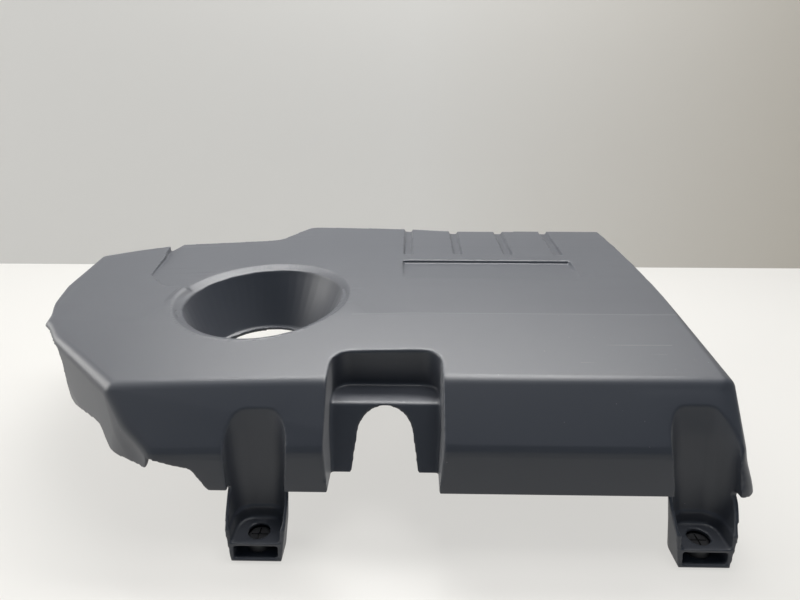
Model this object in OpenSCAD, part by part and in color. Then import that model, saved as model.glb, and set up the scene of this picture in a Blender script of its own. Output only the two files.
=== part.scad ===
// Engine cover: one injection moulding that clips over ball studs with four rubber grommets.
// Millimetres, +X to the right, +Y to the rear, +Z up. The grommets' undersides stand at z = 0.

/* [Cover] */
// Overall width, between the lower edges of the side skirts
cover_w = 587; // [560:1:640]
// Overall depth, from the front of the feet to the rear edge
cover_d = 413; // [400:1:460]
// Wall thickness of the moulding
wall = 2.5; // [2:0.1:3.2]
// Height of the crease that crosses the top
crease_z = 134.5; // [125:0.5:150]
// Distance from the front fold back to the crease
crease_back = 92; // [80:1:110]
// Rise of the top in front of the crease, in degrees
front_slope = 6.5; // [4:0.5:9]
// Rise of the top behind the crease, in degrees
rear_slope = 2; // [0:0.5:3]
// Rise of the raised left wing behind the crease, in degrees
wing_slope = 4.5; // [4:0.25:6]
// Fall of the top to the left of its ridge, in degrees
side_fall = 1.8; // [0:0.1:2.5]
// Distance of the ridge from the middle of the cover
ridge_x = 50; // [0:1:90]

/* [Skirts] */
// Setback of the front fold behind the front of the feet
fold_setback = 54; // [46:1:62]
// Setback of the bend in the front skirt behind the front of the feet
bend_setback = 19.5; // [17:0.5:24]
// Height of the bend in the front skirt
bend_z = 80; // [74:1:88]
// Lean of the skirts from the vertical, in degrees
skirt_lean = 8.5; // [4:0.5:10]
// Radius of the front fold
fold_r = 10; // [6:0.5:14]
// Radius of the other edges of the top
edge_r = 6; // [4:0.5:9]
// Radius of the bend in the front skirt
bend_r = 16; // [10:1:20]
// Height of the lower edge of the front skirt
skirt_z = 51; // [46:1:58]
// Height of the lower edge at the left front corner
corner_z = 64; // [60:1:70]
// Height of the lower edge of the short left and rear skirts
short_z = 106; // [100:1:112]

/* [Funnel] */
// Distance of the funnel's middle to the left of the middle of the cover
funnel_left = 82; // [70:1:90]
// Distance of the funnel's middle behind the front fold
funnel_back = 110; // [102:1:118]
// Radius of the funnel at its rim
funnel_r = 70.5; // [64:0.5:74]
// Width of the chamfer round the rim
rim_chamfer = 5; // [3:0.5:6]
// Radius of the hole at the bottom of the funnel
throat_r = 39; // [30:0.5:44]
// Width of the lip round the hole
throat_lip = 2.5; // [1:0.5:4]
// Height of the underside of the funnel
throat_z = 84; // [78:1:90]

/* [Notch] */
// Distance of the notch's middle to the right of the middle of the cover
notch_x = 32; // [20:1:40]
// Width of the notch at the front fold
notch_w = 91; // [80:1:100]
// Depth of the notch behind the front fold
notch_back = 35; // [30:1:40]
// Height of the ledge in the notch
ledge_z = 96.5; // [90:0.5:102]
// Depth of the ledge, from front to back
ledge_d = 27; // [20:1:30]
// Radius of the notch's rear corners
notch_r = 14; // [8:1:18]
// Draft of the notch's side walls, in degrees
notch_draft = 4.6; // [1:0.2:6]
// Radius of the top of the arch below the ledge
arch_r = 21; // [16:0.5:24]
// Lean of the wall that holds the arch, in degrees
arch_lean = 28; // [20:1:30]

/* [Top details] */
// Distance of the left end of the badge recess from the middle of the cover
badge_x = 45; // [38:1:52]
// Width of the badge recess
badge_w = 173; // [150:1:190]
// Distance of the badge recess's rear wall behind the crease
badge_back = 132; // [120:1:140]
// Length of the badge recess from front to back
badge_l = 51; // [40:1:56]
// Depth of the badge recess at its rear wall, less than the wall
badge_depth = 3.4; // [1.5:0.1:4]
// Number of grooves at the rear edge
groove_count = 4; // [2:1:6]
// Width of a groove
groove_w = 9; // [6:0.5:12]
// Length of a groove
groove_l = 88; // [60:1:95]
// Depth of a groove
groove_depth = 3; // [1.5:0.1:4]

/* [Legs] */
// Distance between the front legs
leg_pitch = 318.6; // [300:0.2:330]
// Distance of the right legs from the edge of the right skirt
leg_inset = 34; // [30:0.5:40]
// Width of a foot at the floor
foot_w = 36.5; // [34:0.5:40]
// Width of a leg at the foot's upper edge
leg_w = 43; // [41:0.5:46]
// Height of the foot's upper edge
foot_h = 26; // [24:0.5:30]
// Depth of a foot from front to back
foot_d = 33; // [31:0.5:36]
// Height of the platform in the foot
platform_z = 16; // [15:0.5:18]
// Radius of the rear corners of a leg
leg_r = 15; // [10:0.5:16]
// Distance of the rear legs from the rear edge
rear_leg_in = 74; // [68:1:90]

/* [Grommets] */
// Radius of the hole that holds a grommet
grommet_hole_r = 8; // [7:0.25:9]
// Play between the neck of a grommet and its hole
grommet_play = 0.1; // [0.05:0.05:0.3]
// Thickness of the flange below the foot
flange_t = 1.5; // [1.2:0.1:2]
// Radius of the flange below the foot
flange_r = 10.5; // [10:0.25:12]
// Radius of the socket for the ball stud
ball_r = 5; // [4:0.25:5.5]

/* [Hidden] */
$fn = 64;
hull_fn = 24;          // facets round the spheres that the outer form is stretched over
arc_steps = 6;         // chords in a rounded corner of an outline
reach = 700;           // larger than the cover, for cuts that run right through
through = 1;           // overrun of a cut past a face
plastic = "#3a3b40";
rubber = "#1a1a1c";

// Main lines of the plan
right_x = cover_w / 2;
left_x = -cover_w / 2;
front_y = -cover_d / 2;
rear_y = cover_d / 2;
fold_y = front_y + fold_setback;
crease_y = fold_y + crease_back;
flare = (crease_z - skirt_z) * tan(skirt_lean);
top_right_x = right_x - flare;
fold_z = top_at(ridge_x, fold_y);
upper_lean = atan((fold_setback - bend_setback) / (fold_z - bend_z));
fall_left = (ridge_x - left_x) * tan(side_fall);

// Height of the top's outer surface; the wing carries on behind the crease
function top_at(x, y) = crease_z + min(0, x - ridge_x) * tan(side_fall)
    + (y - crease_y) * tan(y < crease_y ? front_slope : wing_slope);
function deck_at(x, y) = crease_z + min(0, x - ridge_x) * tan(side_fall) + (y - crease_y) * tan(rear_slope);

// Corners of the top in plan, measured from the main lines
corner_a = [left_x + 133.5, fold_y];
corner_b = [left_x + 24, fold_y + 95];
corner_c = [left_x + 6.5, fold_y + 168];
corner_d = [left_x + 4, rear_y - 113];
corner_e = [left_x + 64, rear_y - 76];
corner_f = [top_right_x - 8, rear_y - 26];
corner_g = [top_right_x, fold_y];
side_angle = atan2(corner_b.y - corner_a.y, corner_b.x - corner_a.x);
side_len = norm(corner_b - corner_a);
funnel_x = -funnel_left;
funnel_y = fold_y + funnel_back;

function unit(v) = v / norm(v);
function cross2(a, b) = a.x * b.y - a.y * b.x;
function xy(p) = [p.x, p.y];

// Outline from corners [x, y, radius]: each corner with a radius becomes an arc
function fillet(a, p, b, r) = let (
    u = unit(a - p), w = unit(b - p), half = acos(u * w) / 2,
    c = p + unit(u + w) * r / sin(half), p1 = p + u * r / tan(half), p2 = p + w * r / tan(half),
    a1 = atan2(p1.y - c.y, p1.x - c.x), d = atan2(p2.y - c.y, p2.x - c.x) - a1,
    turn = d > 180 ? d - 360 : d < -180 ? d + 360 : d)
    [for (i = [0:arc_steps]) c + r * [cos(a1 + turn * i / arc_steps), sin(a1 + turn * i / arc_steps)]];
function outline(pts) = let (n = len(pts)) [for (i = [0:n - 1]) let (p = pts[i])
    each p[2] == 0 ? [xy(p)] : fillet(xy(pts[(i + n - 1) % n]), xy(p), xy(pts[(i + 1) % n]), p[2])];

// The same corners moved inwards by a distance, for an outline that runs anticlockwise
function inset_corners(pts, by) = let (n = len(pts)) [for (i = [0:n - 1]) let (
    p = pts[i], u = unit(xy(pts[(i + n - 1) % n]) - xy(p)), w = unit(xy(pts[(i + 1) % n]) - xy(p)),
    side = cross2(w, u) > 0 ? 1 : -1, half = acos(u * w) / 2,
    q = xy(p) + unit(u + w) * side * by / sin(half))
    [q.x, q.y, p[2] == 0 ? 0 : max(0, p[2] - side * by)]];

// Ball centre under a corner of the top, for a skirt that leans by the given angle
function rim_ball(p, out, r, lean) =
    [p.x - out.x * r * tan((90 - lean) / 2), p.y - out.y * r * tan((90 - lean) / 2), top_at(p.x, p.y) - r, r];
// Ball centre low on the skirt below a corner
low_z = 25;
function low_ball(p, out, r) = let (d = (top_at(p.x, p.y) - low_z) * tan(skirt_lean) - r)
    [p.x + out.x * d, p.y + out.y * d, low_z, r];
function bend_ball(x) = [x, front_y + bend_setback + bend_r,
    bend_z - bend_r * tan(upper_lean / 4) + min(0, x - ridge_x) * tan(side_fall), bend_r];

out_front = [0, -1];
out_right = [1, 0];
out_left = [-1, 0];
out_rear = [0, 1];
out_diag = [sin(side_angle), -cos(side_angle)];
bend_out = (bend_z - low_z) * tan(skirt_lean);

// The hull's balls: the rim of the top, the bend and the lower ends of the skirts
balls = [
    rim_ball(corner_a, unit(out_front + out_diag), fold_r, upper_lean / 2),
    rim_ball(corner_b, unit(out_diag + out_left), edge_r, skirt_lean),
    rim_ball(corner_c, out_left, edge_r, skirt_lean),
    rim_ball(corner_d, unit(out_left * 2 + out_rear), edge_r, skirt_lean),
    rim_ball([corner_e.x, corner_e.y + 4], out_rear, edge_r, skirt_lean),
    rim_ball([corner_f.x, rear_y + 20], out_right, edge_r, skirt_lean),
    rim_ball([left_x + 225, rear_y + 20], out_rear, edge_r, skirt_lean),
    rim_ball(corner_g, out_front + out_right, fold_r, upper_lean),
    rim_ball([ridge_x, corner_g.y], out_front, fold_r, upper_lean),
    rim_ball([top_right_x, crease_y], out_right, edge_r, skirt_lean),
    rim_ball([corner_a.x, crease_y], out_front, fold_r, 90),
    rim_ball([ridge_x, crease_y], out_front, fold_r, 90),
    bend_ball(right_x - bend_r - (bend_z - skirt_z) * tan(skirt_lean)),
    bend_ball(ridge_x),
    bend_ball(corner_a.x + 24),
    low_ball(corner_b, unit(out_diag + out_left), edge_r),
    low_ball(corner_c, out_left, edge_r),
    low_ball(corner_d, unit(out_left * 2 + out_rear), edge_r),
    low_ball([corner_f.x, rear_y + 20], out_right, edge_r),
    [right_x + (skirt_z - low_z) * tan(skirt_lean) - bend_r, front_y + bend_setback - bend_out + bend_r, low_z, bend_r],
    [corner_a.x + 24, front_y + bend_setback - bend_out + bend_r, low_z, bend_r],
    low_ball([left_x + 225, rear_y + 20], out_rear, edge_r)
];

// Rear outline in plan: left rear side, curve up to the rear edge, rear edge; open to the front
rear_plan = [
    [-reach, -reach, 0], [reach, -reach, 0], [reach, rear_y - 26, 0],
    [top_right_x - 180, rear_y - 29.5, 60], [left_x + 218, rear_y + 1.1, 14], [left_x + 190, rear_y - 56, 22],
    [left_x + 64, rear_y - 76, 30], [left_x + 2, rear_y - 112, 12], [-reach, rear_y - 130, 0]
];

// Plan of the lower deck beside the wing: its left side follows the step down to the funnel
deck_plan = [
    [funnel_x, crease_y, 0], [reach, crease_y - 40, 0], [reach, reach, 0], [left_x + 61, reach, 0],
    [left_x + 65, rear_y - 72, 0], [left_x + 78, rear_y - 171, 12], [left_x + 134, rear_y - 230, 0]
];

// Solid of the cover's form, with its surface moved inwards
module form(by) {
    difference() {
        intersection() {
            hull() for (b = balls) translate([b[0], b[1], b[2]]) sphere(r = b[3] - by, $fn = hull_fn);
            linear_extrude(height = reach) polygon(outline(inset_corners(rear_plan, by)));
        }
        deck_cut(by);
    }
}

// What lies above the deck, on the deck's side of the step
module deck_cut(by) {
    intersection() {
        linear_extrude(height = reach) polygon(outline(inset_corners(deck_plan, -by)));
        translate([ridge_x, crease_y, crease_z - by]) rotate([rear_slope, 0, 0]) {
            translate([-reach, -reach, 0]) cube([2 * reach, 2 * reach, reach]);
            rotate([0, -side_fall, 0]) translate([-reach, -reach, 0]) cube([2 * reach, 2 * reach, reach]);
        }
    }
}

// Everything below the skirts' lower edges
module skirt_trim() {
    translate([-reach, -reach, -reach]) cube([2 * reach, 2 * reach, reach + skirt_z]);
    // short skirts at the left and the rear, clear of the funnel
    difference() {
        union() {
            translate([-reach, crease_y + 60, -reach]) cube([2 * reach, reach, reach + short_z]);
            translate([-reach, corner_b.y + 6, -reach]) cube([reach + corner_b.x + 60, reach, reach + short_z]);
        }
        translate([funnel_x, funnel_y, 0]) cylinder(r = funnel_r + 2 * wall, h = reach);
    }
    // right skirt rises towards the rear
    translate([right_x - 60, 0, 0]) rotate([90, 0, 90]) linear_extrude(height = reach)
        polygon([[fold_y + 60, -1], [fold_y + 60, skirt_z], [crease_y + 60, short_z], [reach, short_z], [reach, -1]]);
    // left end of the front skirt steps up to the corner
    rotate([90, 0, 0]) linear_extrude(height = reach)
        polygon([[-reach, -1], [-reach, corner_z], [corner_a.x + 14, corner_z], [corner_a.x + 19, corner_z + 9],
                 [leg_left_x - 46, corner_z + 3], [leg_left_x - 34, skirt_z], [leg_left_x - 34, -1]]);
    // lower edge of the slanting left skirt
    translate([corner_a.x, corner_a.y, 0]) rotate([90, 0, side_angle]) translate([0, 0, -50])
        linear_extrude(height = 130)
        polygon([[-5, -1], [-5, corner_z - 2], [28, corner_z - 2], [34, corner_z + 5], [44, corner_z + 1],
                 [side_len - 56, corner_z + 8], [side_len - 3, short_z], [reach, short_z], [reach, -1]]);
}

// Funnel: surface of revolution round an axis between the vertical and the top's normal
funnel_top = crease_z + 40;
funnel_grow = (funnel_r - throat_r - throat_lip) / (top_at(funnel_x, funnel_y) - throat_z - throat_lip);
module funnel_turn() {
    translate([funnel_x, funnel_y, throat_z]) rotate([front_slope / 2, -side_fall / 2, 0])
        rotate_extrude($fn = 96) children();
}
module funnel_outer() {
    h = funnel_top - throat_z;
    funnel_turn() polygon([[0, 0], [throat_r + throat_lip + wall, 0],
        [throat_r + throat_lip + wall + funnel_grow * h, h], [0, h]]);
}
module funnel_bore() {
    h = funnel_top - throat_z;
    funnel_turn() polygon([[0, -through], [throat_r, -through], [throat_r, wall], [throat_r + throat_lip, wall],
        [throat_r + throat_lip + funnel_grow * (h - wall), h], [0, h]]);
    // chamfer that follows the top round the rim
    translate([funnel_x, funnel_y, top_at(funnel_x, funnel_y)]) rotate([front_slope, -side_fall, 0])
        rotate_extrude($fn = 96) polygon([[0, -rim_chamfer / 2], [funnel_r, -rim_chamfer / 2],
            [funnel_r + rim_chamfer, 0], [funnel_r + 3 * rim_chamfer, rim_chamfer], [0, rim_chamfer]]);
}

// Room of the notch, grown by a distance: flat sides with draft, rounded rear corners, ledge and arch wall
notch_y = fold_y + notch_back;
module notch_room(by) {
    low_w = notch_w - 2 * (fold_z - skirt_z) * tan(notch_draft);
    wide_w = notch_w + 2 * (reach - fold_z) * tan(notch_draft);
    ledge_y = notch_y - ledge_d;
    foot_y = ledge_y - ledge_z * tan(arch_lean);
    intersection() {
        translate([notch_x, reach, 0]) rotate([90, 0, 0]) linear_extrude(height = 2 * reach)
            polygon([[-low_w / 2 - by, skirt_z], [low_w / 2 + by, skirt_z], [wide_w / 2 + by, reach],
                     [-wide_w / 2 - by, reach]]);
        translate([-reach, 0, 0]) rotate([90, 0, 90]) linear_extrude(height = 2 * reach)
            polygon([[-reach, -through], [foot_y + by, -through], [ledge_y + by, ledge_z - by], [notch_y + by, ledge_z - by],
                     [notch_y + by + 2, reach], [-reach, reach]]);
        linear_extrude(height = reach)
            polygon(outline([[notch_x - notch_w / 2 - by + 4, notch_y + by, notch_r], [notch_x - notch_w / 2 - by - 4, -reach, 0],
                             [notch_x + notch_w / 2 + by + 4, -reach, 0], [notch_x + notch_w / 2 + by - 4, notch_y + by, notch_r]]));
    }
}
module arch_cut() {
    spread = (ledge_z - wall - arch_r) * tan(10);
    translate([notch_x, notch_y - ledge_d + 2 * wall, 0]) rotate([90, 0, 0]) linear_extrude(height = reach) {
        translate([0, ledge_z - wall - arch_r]) circle(r = arch_r);
        polygon([[-arch_r, ledge_z - wall - arch_r], [-arch_r - spread, 0], [arch_r + spread, 0],
                 [arch_r, ledge_z - wall - arch_r]]);
    }
}

// Legs: a channel with rounded rear corners that widens upwards, above a box-shaped foot
leg_right_x = right_x - leg_inset;
leg_left_x = leg_right_x - leg_pitch;
rear_left_x = leg_left_x + 45;
rear_right_x = leg_right_x - 12;
rear_leg_y = rear_y - rear_leg_in;
plate_z = flange_t;                                  // underside of the foot's lower plate
grommet_y = foot_d / 2 - 1;                          // grommet's place behind the foot's front
flare_leg = 0.1148;                                  // growth of a leg's width for each millimetre of height
module leg_plan(w, d, r) {
    polygon(outline([[-w / 2, d, r], [-w / 2, 0, 0], [w / 2, 0, 0], [w / 2, d, r]]));
}
// Tapering column over the foot, from the foot's upper edge up to a height
module column(top, by, front) {
    w = leg_w - 2 * by;
    d = foot_d - by;
    h = top - foot_h;
    translate([0, 0, foot_h]) linear_extrude(height = h, slices = 1,
        scale = [1 + flare_leg * h / w, 1 + flare_leg * h / d])
        union() {
            leg_plan(w, d, leg_r - by);
            translate([-w / 2, -front]) square([w, front + through]);
        }
}
// Tapering box of the foot, from the floor up to the foot's upper edge
module foot_box(by, low) {
    w = leg_w - 2 * by;
    d = foot_d - by;
    shrink = (foot_w - 2 * by) / w;
    translate([0, 0, foot_h]) mirror([0, 0, 1]) linear_extrude(height = foot_h - low, slices = 1,
        scale = [shrink, 0.96])
        leg_plan(w, d, leg_r - by);
}
module leg_solid(top) {
    difference() {
        union() {
            column(top, 0, 0);
            foot_box(0, plate_z);
        }
        difference() {
            union() {
                column(top + through, wall, foot_d);
                translate([0, 0, platform_z]) foot_room(foot_h - platform_z + through);
            }
        }
        // window between the plates
        translate([0, 0, plate_z + wall]) window(platform_z - 2 * wall - plate_z);
        translate([0, grommet_y, -through]) cylinder(r = grommet_hole_r, h = foot_h);
    }
}
module foot_room(h) {
    w = foot_w + (leg_w - foot_w) * platform_z / foot_h - 2 * wall;
    linear_extrude(height = h) union() {
        leg_plan(w, foot_d - wall - 1, leg_r - wall);
        translate([-w / 2, -foot_d]) square([w, foot_d + through]);
    }
}
module window(h) {
    w = foot_w - 2 * wall;
    linear_extrude(height = h) union() {
        leg_plan(w, foot_d - wall - 2, leg_r - wall);
        translate([-w / 2, -foot_d]) square([w, foot_d + through]);
    }
}

module front_legs() {
    for (x = [leg_left_x, leg_right_x]) translate([x, front_y, 0]) children();
}
module rear_leg(x) {
    translate([x, rear_leg_y + foot_d, 0]) rotate(180) leg_solid(deck_at(x, rear_leg_y) - wall / 2);
}

// Front legs below the skirt, seen from the side: the channel's edges run back under the skirt
module leg_side() {
    top = skirt_z + 14;
    edge_y = front_y + bend_setback + wall / 2;
    translate([-reach, 0, 0]) rotate([90, 0, 90]) linear_extrude(height = 2 * reach)
        polygon([[front_y, 0], [front_y + 4.5, foot_h], [edge_y + 3, skirt_z - 3], [edge_y, skirt_z + 3],
                 [edge_y, top], [fold_y + 60, top], [fold_y + 60, 0]]);
}

module ribs() {
    rib_t = 1.8;
    deep = 14;
    for (x = [badge_x - 10, badge_x + badge_w + 8]) translate([x, notch_y + 10, crease_z - deep])
        cube([rib_t, rear_y - notch_y - 45, reach]);
    for (y = [crease_y - 18, crease_y + 55, crease_y + 150]) translate([badge_x - 10, y, crease_z - deep])
        cube([top_right_x - badge_x, rib_t, reach]);
}

module cover() {
    color(plastic) difference() {
        union() {
            difference() {
                form(0);
                difference() {
                    form(wall);
                    funnel_outer();
                    notch_room(wall);
                    front_legs() column(crease_z, 0, 0);
                    ribs();
                    deck_backing();
                }
                skirt_trim();
            }
            intersection() {
                front_legs() leg_solid(bend_z);
                leg_side();
            }
            rear_leg(rear_left_x);
            rear_leg(rear_right_x);
        }
        funnel_bore();
        notch_room(0);
        arch_cut();
        front_legs() column(crease_z, wall, foot_d);
        badge_recess();
        groove_row(0);
    }
}

module on_deck() {
    translate([ridge_x, crease_y, crease_z]) rotate([rear_slope, 0, 0]) translate([-ridge_x, 0, 0]) children();
}
module badge_recess() {
    on_deck() translate([badge_x, badge_back - badge_l, 0]) rotate([90, 0, 90]) linear_extrude(height = badge_w)
        polygon([[0, 0], [badge_l, -badge_depth], [badge_l, through], [0, through]]);
}
module groove_row(by) {
    step = (badge_w - groove_w) / (groove_count - 1);
    on_deck() for (i = [0:groove_count - 1])
        translate([badge_x + i * step - by, rear_y - crease_y - groove_l - 26 - by, -groove_depth - by])
            cube([groove_w + 2 * by, reach, reach]);
}
// The wall's thickness below the recess and the grooves
module deck_backing() {
    groove_row(wall);
    on_deck() translate([badge_x - wall, badge_back - badge_l, 0]) rotate([90, 0, 90])
        linear_extrude(height = badge_w + 2 * wall)
        polygon([[0, -wall], [badge_l + wall, -badge_depth - wall], [badge_l + wall, reach], [0, reach]]);
}

// Rubber grommet with the socket for a ball stud; it grips the foot's lower plate
module grommet() {
    neck_r = grommet_hole_r - grommet_play;
    body_r = grommet_hole_r + 1;
    dome_z = platform_z - wall - 0.6;
    color(rubber) difference() {
        rotate_extrude() polygon(concat(
            [[0, 0], [flange_r - 0.6, 0], [flange_r, 0.6], [flange_r, flange_t], [neck_r, flange_t],
             [neck_r, plate_z + wall], [body_r, plate_z + wall], [body_r, dome_z - 3]],
            [for (a = [15:15:90]) [body_r - 3 + 3 * cos(a), dome_z - 3 + 3 * sin(a)]], [[0, dome_z]]));
        translate([0, 0, -through]) cylinder(r = ball_r, h = 6 + through);
        translate([0, 0, 6]) sphere(r = ball_r);
        translate([0, 0, -through]) cylinder(r1 = ball_r + 2.5, r2 = ball_r - 0.5, h = 2 + through);
        for (a = [0, 90]) rotate(a) translate([-0.5, -body_r + 3, 6]) cube([1, 2 * body_r - 6, dome_z]);
    }
}
module grommet_front_left() { translate([leg_left_x, front_y + grommet_y, 0]) grommet(); }
module grommet_front_right() { translate([leg_right_x, front_y + grommet_y, 0]) grommet(); }
module grommet_rear_left() { translate([rear_left_x, rear_leg_y + foot_d - grommet_y, 0]) grommet(); }
module grommet_rear_right() { translate([rear_right_x, rear_leg_y + foot_d - grommet_y, 0]) grommet(); }

cover();
grommet_front_left();
grommet_front_right();
grommet_rear_left();
grommet_rear_right();
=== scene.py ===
import math
import bpy
import numpy as np
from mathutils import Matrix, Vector


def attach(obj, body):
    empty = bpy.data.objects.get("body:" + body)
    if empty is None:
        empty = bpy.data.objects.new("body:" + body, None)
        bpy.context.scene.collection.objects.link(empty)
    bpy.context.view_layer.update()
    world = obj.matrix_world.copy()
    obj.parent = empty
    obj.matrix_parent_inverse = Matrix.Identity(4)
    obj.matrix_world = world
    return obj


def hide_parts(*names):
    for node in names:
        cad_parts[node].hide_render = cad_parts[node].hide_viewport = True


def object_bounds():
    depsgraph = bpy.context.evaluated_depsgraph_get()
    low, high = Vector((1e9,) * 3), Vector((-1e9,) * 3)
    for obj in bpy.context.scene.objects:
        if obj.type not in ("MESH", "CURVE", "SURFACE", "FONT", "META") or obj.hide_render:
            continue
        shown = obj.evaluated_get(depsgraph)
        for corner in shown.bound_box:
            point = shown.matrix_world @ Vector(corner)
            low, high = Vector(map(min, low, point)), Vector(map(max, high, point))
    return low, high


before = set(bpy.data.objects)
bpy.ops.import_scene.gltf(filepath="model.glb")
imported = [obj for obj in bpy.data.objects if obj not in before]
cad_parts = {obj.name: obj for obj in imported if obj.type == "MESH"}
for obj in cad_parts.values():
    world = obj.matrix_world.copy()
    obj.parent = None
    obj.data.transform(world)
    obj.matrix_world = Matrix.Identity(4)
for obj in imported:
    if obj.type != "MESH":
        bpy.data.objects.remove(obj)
cadBox = [list(corner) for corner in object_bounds()]
mm = 0.001

# Small helpers


def deselectAll():
    if bpy.context.object and bpy.context.object.mode != "OBJECT":
        bpy.ops.object.mode_set(mode="OBJECT")
    bpy.ops.object.select_all(action="DESELECT")


def pickOnly(piece):
    deselectAll()
    piece.select_set(True)
    bpy.context.view_layer.objects.active = piece


def applyModifier(piece, kind, **settings):
    pickOnly(piece)
    modifier = piece.modifiers.new(kind.title(), kind)
    for key, value in settings.items():
        setattr(modifier, key, value)
    bpy.ops.object.modifier_apply(modifier=modifier.name)


# Shader maths: a wire is one socket of a material, and its sums add Math nodes


class Wire:
    def __init__(self, mix, socket):
        self.mix = mix
        self.socket = socket

    def sum(self, operation, first, second):
        return self.mix.sum(operation, first, second)

    def __add__(self, other):
        return self.sum("ADD", self, other)

    def __sub__(self, other):
        return self.sum("SUBTRACT", self, other)

    def __mul__(self, other):
        return self.sum("MULTIPLY", self, other)

    def __gt__(self, other):
        return self.sum("GREATER_THAN", self, other)

    def __lt__(self, other):
        return self.sum("LESS_THAN", self, other)


class Finish:
    def __init__(self, name):
        self.material = bpy.data.materials.new(name)
        self.material.use_nodes = True
        self.tree = self.material.node_tree
        self.tree.nodes.clear()

    # Adds a node: its settings are set first, then its sockets get values or wires
    def node(self, kind, settings=None, inputs=None, out=0):
        made = self.tree.nodes.new(kind)
        for key, value in (settings or {}).items():
            setattr(made, key, value)
        for key, value in (inputs or {}).items():
            if isinstance(value, Wire):
                self.tree.links.new(value.socket, made.inputs[key])
            else:
                made.inputs[key].default_value = value
        return Wire(self, made.outputs[out]) if made.outputs else None

    def sum(self, operation, first, second):
        return self.node("ShaderNodeMath", {"operation": operation}, {0: first, 1: second})

    def place(self):
        return self.node("ShaderNodeTexCoord", out="Object")

    def noise(self, scale, detail=2.0, rough=0.5, vector=None):
        inputs = {"Vector": vector or self.place(), "Scale": scale, "Detail": detail, "Roughness": rough}
        return self.node("ShaderNodeTexNoise", None, inputs)

    # Mixes two colours, of which the first may be a wire
    def colours(self, mask, first, second):
        start = first if isinstance(first, Wire) else (*first, 1)
        inputs = {0: mask, 6: start, 7: (*second, 1)}
        return self.node("ShaderNodeMix", {"data_type": "RGBA"}, inputs, out=2)

    # The glow is the share of its tone that the surface shows to camera and glossy rays without any light
    def finish(self, values, tone=None, glow=0.0):
        surface = self.node("ShaderNodeBsdfPrincipled", None, values)
        if tone:
            plain = self.node("ShaderNodeEmission", None, {"Color": tone})
            camera = self.node("ShaderNodeLightPath", out="Is Camera Ray")
            glossy = self.node("ShaderNodeLightPath", out="Is Glossy Ray")
            seen = (camera + glossy) * glow
            surface = self.node("ShaderNodeMixShader", None, {0: seen, 1: surface, 2: plain})
        self.node("ShaderNodeOutputMaterial", None, {"Surface": surface})
        return self.material


# Moulded plastic of the cover: fine grain, faint clouds, hair scratches, dust, and a painted highlight as a
# light line along the crease.
# Its gloss and sheen make the top pale where the light comes from behind

plasticLook = {
    "deep": (0.023, 0.027, 0.037),
    "worn": (0.031, 0.035, 0.045),
    # this grey serves the scratches and dust, and also the painted highlight along the crease
    "scuffAndCreaseHighlight": (0.30, 0.30, 0.30),
    "roughness": 0.47,
    "specular": 0.7,
    "sheen": 0.12,
    "sheenRoughness": 0.45,
    "grainScale": 1500.0,
    "grainHeight": 0.00005,
    "cloudScale": 7.0,
    "creaseY": -0.0605,          # the crease across the top, along which a painted highlight shows as a line
    # start, width and tone of the painted highlight along the crease
    "creaseHighlightStart": 0.0,
    "creaseHighlightWidth": 0.0007,
    "creaseHighlightTone": 0.13,
    "scratched": (0.205, -0.085, 0.130),   # middle of the scratched patch behind the front fold
    "scratchedReach": 0.055,
    "scratchTurn": 0.62,
    "scratchScale": (9.0, 520.0, 30.0),
    "scratchAbove": 0.72,
    "scratchTone": 0.22,
    "dustScale": 90.0,
    "dustSize": 0.03,
    "dustAbove": 0.55,
    "dustTone": 0.45,
}


def mouldedPlastic():
    look = plasticLook
    mix = Finish("mouldedPlastic")
    place = mix.place()
    clouds = mix.noise(look["cloudScale"], 4.0)
    grain = mix.noise(look["grainScale"], 2.0, 0.6)
    turn = (0.0, 0.0, look["scratchTurn"])
    stretched = mix.node("ShaderNodeMapping", None,
                         {"Vector": place, "Rotation": turn, "Scale": look["scratchScale"]})
    hairs = mix.noise(1.0, 1.0, 0.4, stretched) > look["scratchAbove"]
    distance = mix.node("ShaderNodeVectorMath", {"operation": "DISTANCE"},
                        {0: place, 1: look["scratched"]}, out=1)
    scratches = hairs * (distance < look["scratchedReach"]) * look["scratchTone"]
    cells = mix.node("ShaderNodeTexVoronoi", {"feature": "F1"},
                     {"Vector": place, "Scale": look["dustScale"]})
    dust = (cells < look["dustSize"]) * (mix.noise(5.0, 2.0) > look["dustAbove"]) * look["dustTone"]
    sideways = mix.node("ShaderNodeSeparateXYZ", None, {0: place})
    backwards = mix.node("ShaderNodeSeparateXYZ", None, {0: place}, out=1)
    # painted highlight: a thin light line along the crease, lightened towards the grey
    line = mix.sum("ABSOLUTE", backwards - look["creaseY"], 0.0) < look["creaseHighlightWidth"]
    line = line * (sideways > look["creaseHighlightStart"]) * look["creaseHighlightTone"]
    # scratches and dust are wear; the crease line among them is a painted highlight
    marksAndCreaseHighlight = scratches + dust + line
    base = mix.colours(clouds, look["deep"], look["worn"])
    colour = mix.colours(marksAndCreaseHighlight, base, look["scuffAndCreaseHighlight"])
    roughness = clouds * 0.05 + grain * 0.05 + marksAndCreaseHighlight * 0.2 + (look["roughness"] - 0.05)
    bump = mix.node("ShaderNodeBump", None,
                    {"Strength": 0.3, "Distance": look["grainHeight"], "Height": grain})
    return mix.finish({"Base Color": colour, "Roughness": roughness, "Normal": bump,
                       "Specular IOR Level": look["specular"], "Sheen Weight": look["sheen"],
                       "Sheen Roughness": look["sheenRoughness"]})


rubberLook = {
    "deep": (0.010, 0.010, 0.011),
    "bloom": (0.032, 0.032, 0.034),
    "bloomScale": 160.0,
    "roughness": 0.46,
    "grainScale": 900.0,
    "grainHeight": 0.0001,
}


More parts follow.
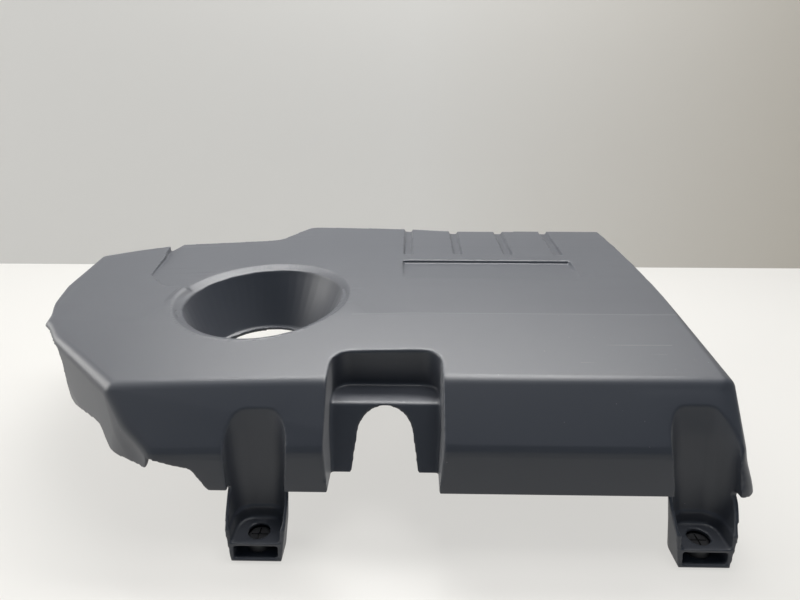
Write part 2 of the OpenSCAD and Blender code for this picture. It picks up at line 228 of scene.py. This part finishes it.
def mattRubber():
    look = rubberLook
    mix = Finish("mattRubber")
    bloom = mix.noise(look["bloomScale"], 3.0)
    colour = mix.colours(bloom, look["deep"], look["bloom"])
    grain = mix.noise(look["grainScale"])
    bump = mix.node("ShaderNodeBump", None,
                    {"Strength": 0.3, "Distance": look["grainHeight"], "Height": grain})
    roughness = bloom * 0.12 + (look["roughness"] - 0.06)
    return mix.finish({"Base Color": colour, "Roughness": roughness, "Normal": bump})


# The camera stands in front of the cover and looks down on it, as the photograph was taken

camera = {"place": (0.0505, -0.5345, 0.335), "down": 21.7, "left": 1.1, "pixels": 600.0, "frameWidth": 800.0}


def setCamera():
    bpy.ops.object.camera_add(location=camera["place"],
                              rotation=(math.radians(90 - camera["down"]), 0, math.radians(camera["left"])))
    view = bpy.context.object
    view.data.sensor_width = 36.0
    view.data.lens = 36.0 * camera["pixels"] / camera["frameWidth"]
    view.data.clip_start = 0.01
    bpy.context.scene.camera = view
    print("camera set")


# The cover: the solid is trimmed, remeshed finely and fitted to the real moulding's crowned form

coverShape = {
    "voxel": 1.05 * mm,
    "quickVoxel": 2.4 * mm,
    "smooth": 2,
    "factor": 0.5,
    # places that are smoothed more: iterations and box in millimetres, like all places in coverFit
    "soft": {"notchRim": (12, ((-24, 88), (-200, -106), (60, 140))),
             "stepEnd": (14, ((-186, -152), (-40, 14), (112, 140)))},
    "faces": 194000,
}

# Slopes are in degrees, places and lengths in millimetres
coverFit = {
    "creaseY": -60.5,
    "creaseZ": 134.5,
    "ridgeX": 50.0,
    "sideFall": 1.8,
    "frontSlope": 6.5,
    "flatDeck": 2.0,             # slopes of the solid behind the crease
    "flatWing": 4.5,
    "deckSlope": 4.5,            # and those of the moulding, whose deck is crowned
    "crownRadius": 2750.0,
    "wingSlope": 4.25,
    "deckDepth": (60, 25),       # below the top, where the lift of the deck starts and is full
    "wingEnd": -150,             # the wing lies to the left of this
    "margin": 0.05,              # kept free inside the solid's box
}

# Plan moves, each as places and their shifts: of the rear edge, the step, the recess and the grooves
planFit = {
    "rearEdge": {-292: 0, -285: 0, -226: -14, -221: 9, -163: 3.5, -115: 0},
    "rearStart": (50, 98),
    "step": {35.5: -215.5, 134.5: -228.5},
    "stepReach": (4, 34),
    "stepShift": {30: 2.7, 120: 5.5},
    "stepStart": (0, 30),
    "recess": {-60: 0, 5: -5, 20: -6.5, 72: -6.5, 92.5: -8, 140: -6, 195: 0},
    "recessLeft": (8, 36),
    "recessRight": (225, 262),
    "recessFront": (-40, 10),
    "recessShift": -2.5,
    "grooveStart": (74, 91),
    "grooveShift": 0.5,
    "grooveSlant": -0.0153,
    "firstGroove": 45,
}

# The right front leg's channel leans to the left, and its top stands a little higher
legFit = {
    "x": 257,
    "left": (25, 52),
    "right": (18, 27),
    "behind": (-140, -120),
    "above": (116, 126),
    "foot": 26,
    "lean": 4.5,
    "topStart": (85, 106),
    "topEnd": (111, 119),
    "rise": 2.4,
    "back": 0.77,                # the skirt's run for each millimetre of that rise
}

funnelFit = {
    "oldMiddle": (-82.0, -42.5),
    "oldLean": (-0.75, -2.7),    # drift of the axis from the hole to the rim
    "newMiddle": (-90.0, -19.5),
    "newLean": (3.3, 0.0),
    "oldHole": 84.0,
    "oldNeck": 86.5,
    "oldHeight": 48.0,           # from the hole to the rim
    "oldRim": 131.8,             # height of the rim at the funnel's middle
    "oldChamfer": (75.5, 5.0, 2.5),      # outer radius, width and depth of the rim's chamfer
    "newHole": 71.0,
    "newNeck": 77.0,
    "lowest": 70.0,              # what lies lower isn't moved
    "grow": (1.23, 1.057),       # growth of the radius at the hole and at the rim
    "rim": 81.0,                 # all inside this radius moves as one
    "core": (80, 84),            # radii between which the funnel's own heights end
    "front": 101.0,              # radius at which the move ends in front, and how much later it ends behind
    "behind": 50.0,
    "ring": (74.5, 81.0, 3.5),   # inner and outer radius and depth of the sloping ring
}

# New lower edges of the slanting side and of the left side, as distance along the side and height
skirtTrim = [
    {"start": (-160.0, -152.5), "end": (-269.5, -57.5), "half": 45.0,
     "edge": [(2, 64), (6, 64), (13, 69.7), (17, 74.6), (22, 78), (33, 78), (54, 76), (78, 71.5), (86, 73.5),
              (87, 92.5), (91.4, 105.6), (99.3, 115), (114, 118), (146, 119.5)]},
    {"start": (-285.0, -62.0), "end": (-285.0, 12.5), "half": 35.0,
     "edge": [(0, 119.5), (44, 119.5), (75, 106)]},
]

# Small moves near a corner: place, reach and shift
cornerMoves = [
    ((-269, -60, 118), 42, (3.5, 4, 0)),
    ((-143, -176, 66), 32, (8, 0, 1)),
    ((289, -192, 51), 30, (3.5, -1, 0)),
]


def ramp(value, start, end):
    share = np.clip((value - start) / (end - start), 0, 1)
    return share * share * (3 - 2 * share)


# Reads a dictionary of places and shifts as one broken line
def between(value, line):
    return np.interp(value, list(line), list(line.values()))


def tangent(angle):
    return math.tan(math.radians(angle))


def crownRise(back):
    radius, slope = coverFit["crownRadius"], math.radians(coverFit["deckSlope"])
    return np.sqrt(radius ** 2 - (back - radius * math.sin(slope)) ** 2) - radius * math.cos(slope)


def topHeights(x, y, deckRise, wingSlope):
    fit = coverFit
    back = y - fit["creaseY"]
    base = fit["creaseZ"] + np.minimum(0, x - fit["ridgeX"]) * tangent(fit["sideFall"])
    front = base + back * tangent(fit["frontSlope"])
    deck = np.where(back < 0, front, base + deckRise(back))
    wing = np.where(back < 0, front, base + back * tangent(wingSlope))
    return deck, wing


# Plan moves of the rear outline, the step, the recess and the grooves
def fitPlan(x, y):
    fit = planFit
    newX, newY = x.copy(), y.copy()
    newY += between(x, fit["rearEdge"]) * ramp(y, *fit["rearStart"])
    near = 1 - ramp(np.abs(x - between(y, fit["step"])), *fit["stepReach"])
    newX += near * ramp(y, *fit["stepStart"]) * between(y, fit["stepShift"])
    right = ramp(x, *fit["recessLeft"])
    newY += right * between(y, fit["recess"])
    slant = fit["grooveShift"] + fit["grooveSlant"] * (x - fit["firstGroove"])
    sideways = fit["recessShift"] + ramp(y, *fit["grooveStart"]) * slant
    newX += right * ramp(y, *fit["recessFront"]) * (1 - ramp(x, *fit["recessRight"])) * sideways
    return newX, newY


# The funnel stands further back and to the left than in the solid, and is a little wider and deeper
def fitFunnel(x, y, z, deckOld):
    fit = funnelFit
    raised = np.clip((z - fit["oldHole"]) / fit["oldHeight"], 0, 1)
    dx = x - fit["oldMiddle"][0] - fit["oldLean"][0] * raised
    dy = y - fit["oldMiddle"][1] - fit["oldLean"][1] * raised
    away = np.hypot(dx, dy)
    toBack, toSide = tangent(coverFit["frontSlope"]), tangent(coverFit["sideFall"])
    rimPlane = fit["oldRim"] + (y - fit["oldMiddle"][1]) * toBack + (x - fit["oldMiddle"][0]) * toSide
    chamferRadius, chamferWidth, chamferDepth = fit["oldChamfer"]
    chamfer = rimPlane - chamferDepth * np.clip((chamferRadius - away) / chamferWidth, 0, 1)
    rimOld = np.minimum(deckOld, np.where(away < chamferRadius + 0.5, chamfer, deckOld))
    height = np.clip((z - fit["oldHole"]) / (rimOld - fit["oldHole"]), 0, 1)
    grow = fit["grow"][0] + (fit["grow"][1] - fit["grow"][0]) * height
    reach = fit["front"] + fit["behind"] * np.clip(dy / np.maximum(away, 1), 0, 1)
    weight = np.where(z < fit["lowest"], 0, 1 - ramp(away, fit["rim"], reach))
    shiftX = fit["newMiddle"][0] + fit["newLean"][0] * height - (x - dx) + (grow - 1) * dx
    shiftY = fit["newMiddle"][1] + fit["newLean"][1] * height - (y - dy) + (grow - 1) * dy
    core = np.where(weight > 0, 1 - ramp(away, *fit["core"]), 0)
    return weight, weight * shiftX, weight * shiftY, core, rimOld


def funnelHeight(x, y, z, rimOld, deckNew):
    fit = funnelFit
    inner, outer, depth = fit["ring"]
    away = np.hypot(x - fit["newMiddle"][0] - fit["newLean"][0], y - fit["newMiddle"][1])
    rimNew = deckNew - depth * np.clip((outer - away) / (outer - inner), 0, 1)
    neckGrowth = (fit["newNeck"] - fit["newHole"]) / (fit["oldNeck"] - fit["oldHole"])
    neck = fit["newHole"] + (z - fit["oldHole"]) * neckGrowth
    cone = fit["newNeck"] + (z - fit["oldNeck"]) / (rimOld - fit["oldNeck"]) * (rimNew - fit["newNeck"])
    return np.where(z < fit["oldNeck"], neck, cone)


# Moves the new places of the right front leg
def leanLeg(x, y, z, newX, newY, newZ):
    fit = legFit
    sides = (1 - ramp(fit["x"] - x, *fit["left"])) * (1 - ramp(x - fit["x"], *fit["right"]))
    leg = sides * (1 - ramp(y, *fit["behind"])) * (1 - ramp(z, *fit["above"]))
    newX -= leg * np.clip(z - fit["foot"], 0, None) * tangent(fit["lean"])
    higher = leg * ramp(z, *fit["topStart"]) * (1 - ramp(z, *fit["topEnd"])) * fit["rise"]
    newZ += higher
    newY += higher * fit["back"]


def fitPoints(points):
    x, y, z = points.T
    fit = coverFit
    deckOld, wingOld = topHeights(x, y, lambda back: back * tangent(fit["flatDeck"]), fit["flatWing"])
    newX, newY = fitPlan(x, y)
    weight, shiftX, shiftY, core, rimOld = fitFunnel(x, y, z, deckOld)
    newX += shiftX
    newY += shiftY
    deckNew, wingNew = topHeights(newX, newY, crownRise, fit["wingSlope"])
    start, full = fit["deckDepth"]
    newZ = z + ramp(z, deckOld - start, deckOld - full) * (deckNew - deckOld)
    over = np.clip((z - deckOld) / np.maximum(wingOld - deckOld, 0.01), 0, 1) * (1 - weight)
    onWing = (x < fit["wingEnd"]) & (z > deckOld)
    newZ = np.where(onWing, deckNew + over * (wingNew - deckNew) + np.maximum(0, z - wingOld), newZ)
    newZ = newZ * (1 - core) + funnelHeight(newX, newY, z, rimOld, deckNew) * core
    for place, reach, shift in cornerMoves:
        away = np.sqrt((x - place[0]) ** 2 + (y - place[1]) ** 2 + (z - place[2]) ** 2)
        pull = 1 - ramp(away, 0.15 * reach, reach)
        for total, move in zip((newX, newY, newZ), shift):
            total += pull * move
    leanLeg(x, y, z, newX, newY, newZ)
    low, high = (np.array(corner) / mm for corner in cadBox)
    return np.clip(np.stack([newX, newY, newZ], axis=1), low + fit["margin"], high - fit["margin"])


def fitCover(cover):
    mesh = cover.data
    places = np.empty(3 * len(mesh.vertices))
    mesh.vertices.foreach_get("co", places)
    fitted = fitPoints(places.reshape(-1, 3) / mm) * mm
    mesh.vertices.foreach_set("co", fitted.ravel())
    mesh.update()
    for name, (iterations, box) in coverShape["soft"].items():
        group = cover.vertex_groups.new(name=name)
        inside = np.ones(len(fitted), dtype=bool)
        for axis, (low, high) in enumerate(box):
            inside &= (fitted[:, axis] > low * mm) & (fitted[:, axis] < high * mm)
        group.add([int(i) for i in np.nonzero(inside)[0]], 1.0, "REPLACE")
        applyModifier(cover, "SMOOTH", factor=coverShape["factor"], iterations=iterations, vertex_group=name)
    print("cover fitted")


# A prism that stands below a skirt's new edge
def skirtCutter(side):
    start, end = Vector(side["start"]), Vector(side["end"])
    along = (end - start).normalized()
    across = Vector((-along.y, along.x)) * side["half"]
    edge = side["edge"]
    outline = [(edge[0][0], -5), *edge, (edge[-1][0], -5)]
    count = len(outline)
    corners = []
    for shift in (-across, across):
        for distance, height in outline:
            place = start + along * distance + shift
            corners.append((place.x * mm, place.y * mm, height * mm))
    faces = [list(range(count)), list(range(count, 2 * count))]
    for first in range(count):
        second = (first + 1) % count
        faces.append([first, second, second + count, first + count])
    mesh = bpy.data.meshes.new("skirtCutter")
    mesh.from_pydata(corners, [], faces)
    cutter = bpy.data.objects.new("skirtCutter", mesh)
    bpy.context.collection.objects.link(cutter)
    pickOnly(cutter)
    bpy.ops.object.mode_set(mode="EDIT")
    bpy.ops.mesh.select_all(action="SELECT")
    bpy.ops.mesh.normals_make_consistent(inside=False)
    bpy.ops.object.mode_set(mode="OBJECT")
    return cutter


def trimSkirt(cover):
    for side in skirtTrim:
        cutter = skirtCutter(side)
        applyModifier(cover, "BOOLEAN", operation="DIFFERENCE", object=cutter, solver="EXACT")
        bpy.data.objects.remove(cutter)
    print("skirt trimmed:", len(cover.data.polygons))


def makeCover():
    shape = coverShape
    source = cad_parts["cover"]
    cover = source.copy()
    cover.data = source.data.copy()
    cover.name = "mouldedCover"
    bpy.context.collection.objects.link(cover)
    pickOnly(cover)
    bpy.ops.object.mode_set(mode="EDIT")
    bpy.ops.mesh.select_all(action="SELECT")
    bpy.ops.mesh.remove_doubles(threshold=0.002 * mm)
    bpy.ops.object.mode_set(mode="OBJECT")
    trimSkirt(cover)
    voxel = shape["voxel"]
    applyModifier(cover, "REMESH", mode="VOXEL", voxel_size=voxel)
    print("cover remeshed:", len(cover.data.polygons))
    applyModifier(cover, "SMOOTH", factor=shape["factor"], iterations=shape["smooth"])
    fitCover(cover)
    triangles = 2 * len(cover.data.polygons)
    if triangles > shape["faces"]:
        applyModifier(cover, "DECIMATE", ratio=shape["faces"] / triangles)
    pickOnly(cover)
    bpy.ops.object.shade_smooth_by_angle(angle=math.radians(50))
    cover.data.materials.clear()
    cover.data.materials.append(mouldedPlastic())
    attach(cover, "root")
    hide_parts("cover")
    print("cover made:", len(cover.data.polygons))


def dressGrommets():
    rubber = mattRubber()
    for name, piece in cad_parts.items():
        if name.startswith("grommet"):
            piece.data.materials.clear()
            piece.data.materials.append(rubber)
    print("grommets dressed")


# Table, wall and light

studio = {
    "table": (0.90, 0.885, 0.85),
    "tableGlow": 0.68,           # share of their own colour that table and wall show without any light
    "wall": (0.69, 0.682, 0.655),
    "wallShadedRight": (0.53, 0.495, 0.43),      # painted shade: the wall is darker and warmer on the right
    "wallGlow": 0.55,
    "wallY": 0.469,
    "tableSize": 3.2,
    "wallHeight": 1.6,
    "room": (0.70, 0.83, 1.0),
    "roomStrength": 0.20,
    "litShare": 0.62,            # share of that colour by which they answer to light
    "rightStart": 0.1,
    "rightGrowth": 1.4,
    # place, width, depth, power, colour and aim of each lamp
    "lamps": [
        ((0.02, 0.34, 0.86), 1.1, 0.16, 13.5, (1.0, 0.99, 0.975), (-0.05, 0.03, 0.12)),
        ((0.25, -0.05, 1.40), 0.6, 0.6, 9.0, (1.0, 0.99, 0.975), (0.1, -0.05, 0.0)),
        ((-1.45, 0.10, 0.75), 0.9, 0.9, 19.0, (1.0, 0.98, 0.95), (-0.15, 0.0, 0.1)),
    ],
}


# The stage answers to light as a greyer surface than the camera sees, so that it throws little on the cover
def stageMaterial(name, colour, rightColour, roughness, glow):
    mix = Finish(name)
    share = studio["litShare"]
    # on the wall this mask paints shade, darker and warmer to the right; the table's two colours are the
    # same
    toRight = mix.node("ShaderNodeSeparateXYZ", None, {0: mix.place()}) - studio["rightStart"]
    mask = toRight * studio["rightGrowth"] + mix.noise(3.0, 3.0) * 0.1
    tone = mix.colours(mask, colour, rightColour)
    grey = mix.colours(mask, tuple(share * c for c in colour), tuple(share * c for c in rightColour))
    return mix.finish({"Base Color": grey, "Roughness": roughness}, tone, glow)


def setStudio():
    size = studio["tableSize"]
    bpy.ops.mesh.primitive_plane_add(size=size, location=(0, studio["wallY"] - size / 2, 0))
    table = bpy.context.object
    table.name = "table"
    table.data.materials.append(stageMaterial("whiteTable", studio["table"], studio["table"], 0.3,
                                              studio["tableGlow"]))
    bpy.ops.mesh.primitive_plane_add(size=size, location=(0, studio["wallY"], studio["wallHeight"]),
                                     rotation=(math.radians(90), 0, 0))
    wall = bpy.context.object
    wall.name = "wall"
    wall.data.materials.append(stageMaterial("paleWall", studio["wall"], studio["wallShadedRight"], 0.7,
                                             studio["wallGlow"]))
    for place, width, depth, power, colour, aim in studio["lamps"]:
        bpy.ops.object.light_add(type="AREA", location=place)
        lamp = bpy.context.object
        lamp.data.shape = "RECTANGLE"
        lamp.data.size = width
        lamp.data.size_y = depth
        lamp.data.energy = power
        lamp.data.color = colour
        lamp.rotation_euler = (Vector(aim) - Vector(place)).to_track_quat("-Z", "Y").to_euler()
    world = bpy.data.worlds.new("softRoom")
    world.use_nodes = True
    world.node_tree.nodes["Background"].inputs[0].default_value = (*studio["room"], 1)
    world.node_tree.nodes["Background"].inputs[1].default_value = studio["roomStrength"]
    bpy.context.scene.world = world
    print("studio set")


setCamera()
makeCover()
dressGrommets()
setStudio()
bpy.context.scene.view_settings.view_transform = "Standard"
